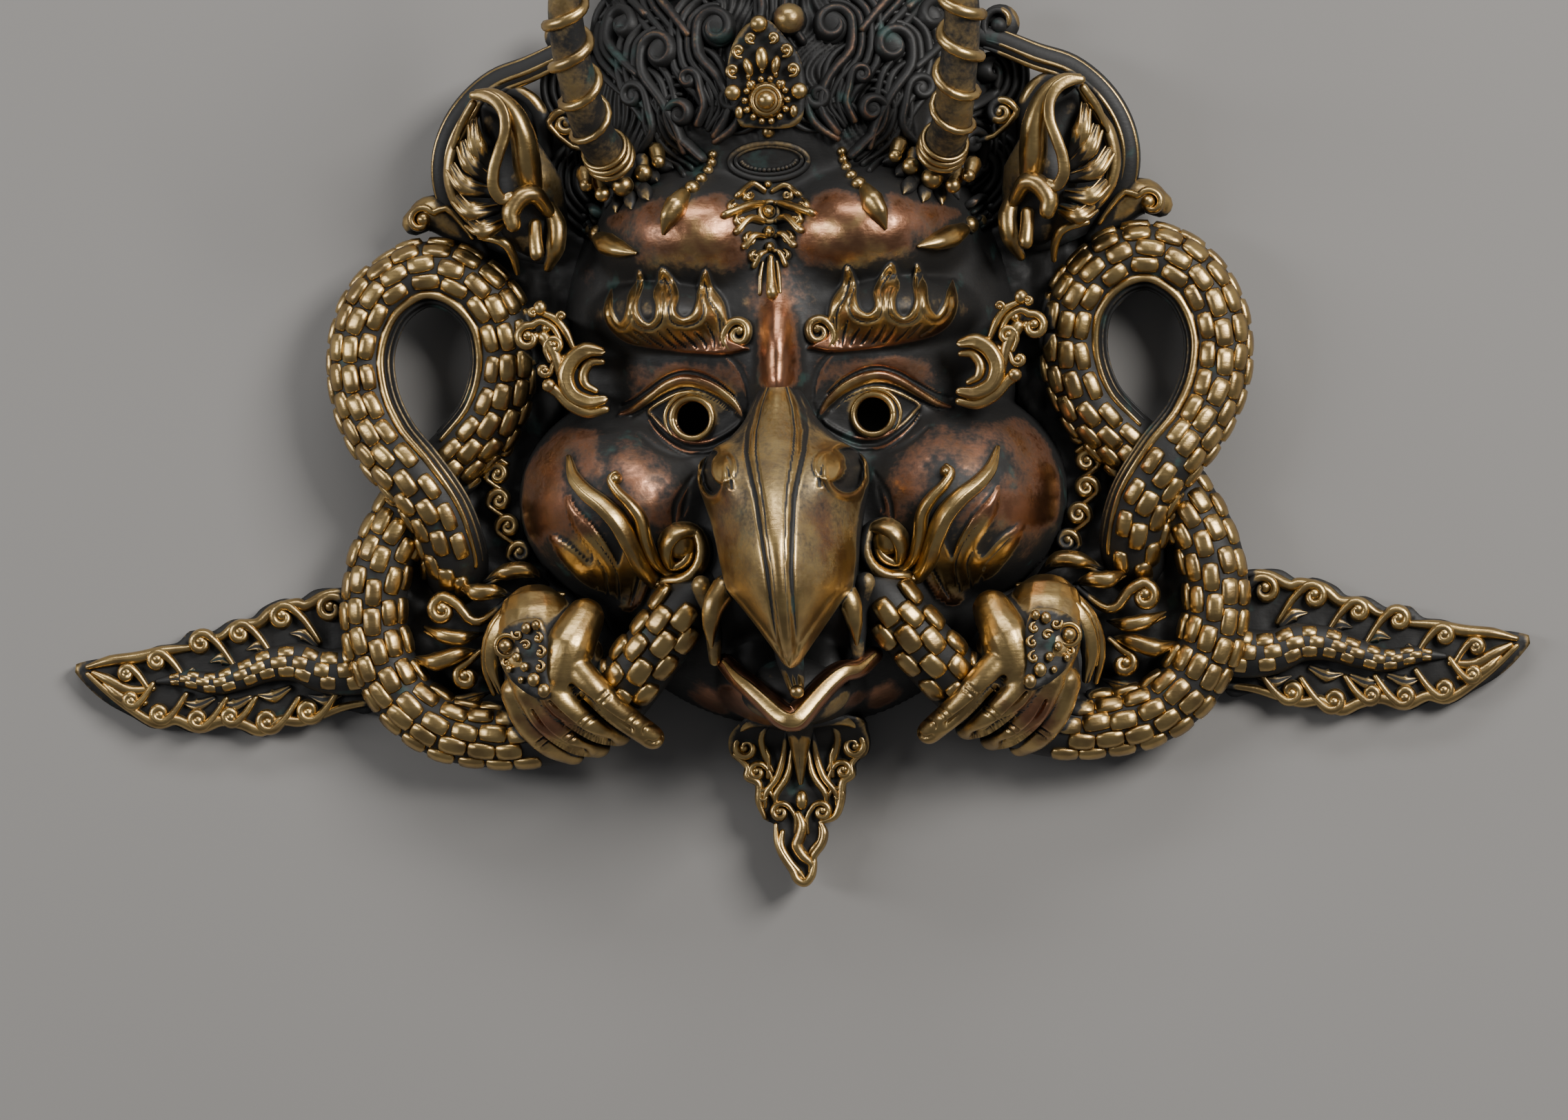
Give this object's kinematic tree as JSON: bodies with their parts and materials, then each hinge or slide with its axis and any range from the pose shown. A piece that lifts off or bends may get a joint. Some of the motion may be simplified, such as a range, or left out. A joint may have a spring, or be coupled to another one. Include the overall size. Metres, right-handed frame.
{
  "type": "garuda mask",
  "caption": "Hollow cast copper-alloy mask of a horned, beaked bird face whose hands grip two scaled serpents; open at the back, with a flat back rim.",
  "frame": {"origin": "middle of the box round the mask, on the plane of the flat back rim that it lies on", "axes": "+X to the viewer's right along the serpents' tails, +Y up the face towards the crest, +Z out of the face"},
  "size_m": [0.5081, 0.3577, 0.1166],
  "materials": {
    "copper_alloy": "cast copper alloy, dark patina in the hollows, rubbed bright on the high places"
  },
  "bodies": {
    "root": {"mask": "copper_alloy"}
  },
  "joints": []
}
